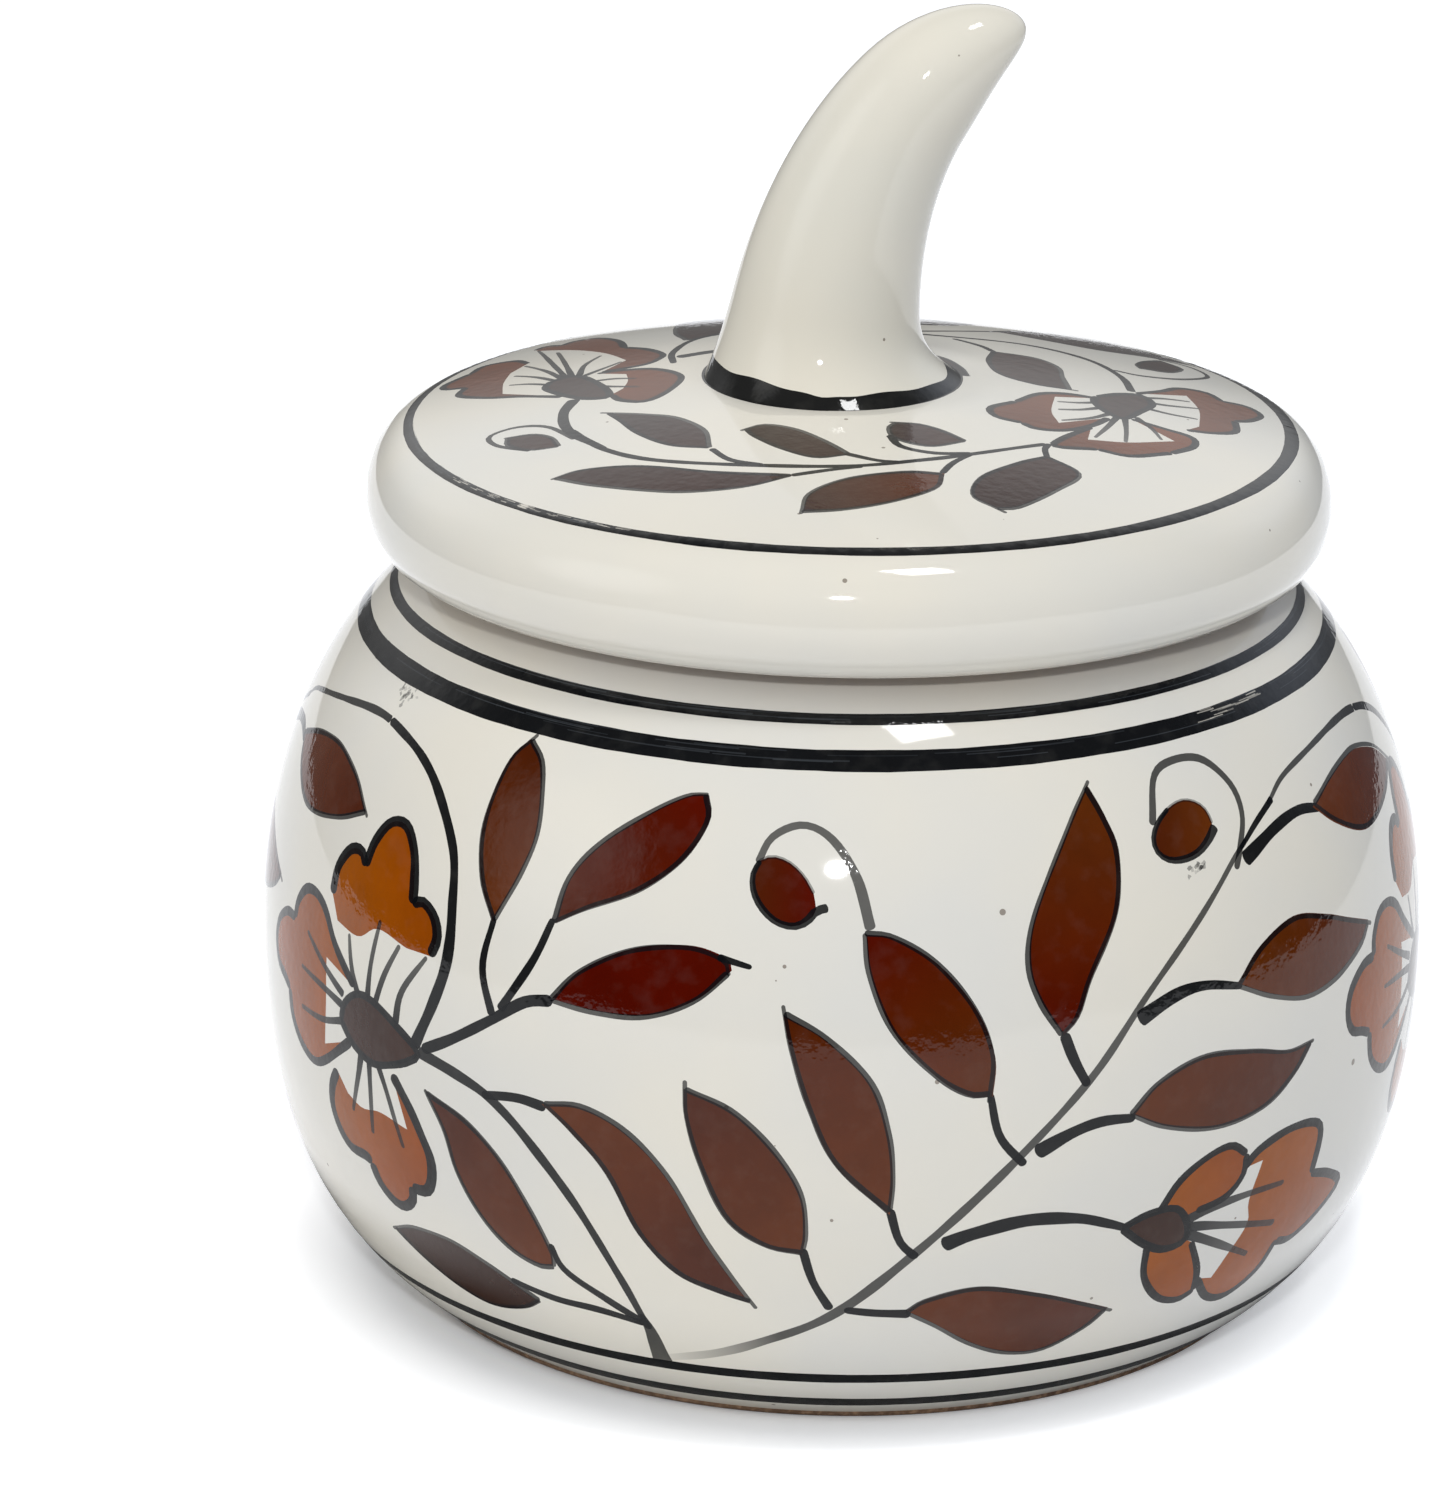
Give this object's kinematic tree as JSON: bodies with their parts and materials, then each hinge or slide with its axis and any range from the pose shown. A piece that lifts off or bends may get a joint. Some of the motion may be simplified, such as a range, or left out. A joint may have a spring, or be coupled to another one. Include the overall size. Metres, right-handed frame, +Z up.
{
  "type": "lidded pickle jar",
  "caption": "Round-bellied glazed ceramic jar with a painted leaf pattern and a loose domed lid that lifts off by its horn-shaped grip, for pickles and preserves.",
  "frame": {"origin": "centre of the jar's standing face, on the jar's axis", "axes": "+Z up along the jar's axis and the way the lid lifts, +X the way the horn bends, -Y towards the viewer of the picture"},
  "size_m": [0.13, 0.13, 0.1439],
  "materials": {
    "jar_glaze": "gloss cream glaze with painted leaves, flowers and rings",
    "lid_glaze": "gloss cream glaze with painted leaves, flowers and one ring",
    "horn_glaze": "gloss cream glaze with one painted band at the foot"
  },
  "bodies": {
    "jar": {"jar_body": "jar_glaze"},
    "lid": {"lid": "lid_glaze", "horn_handle": "horn_glaze"}
  },
  "joints": [
    {"name": "lid_lift", "type": "slide", "parent": "jar", "child": "lid", "axis": [0, 0, 1], "range_m": [0, 0.08]}
  ]
}
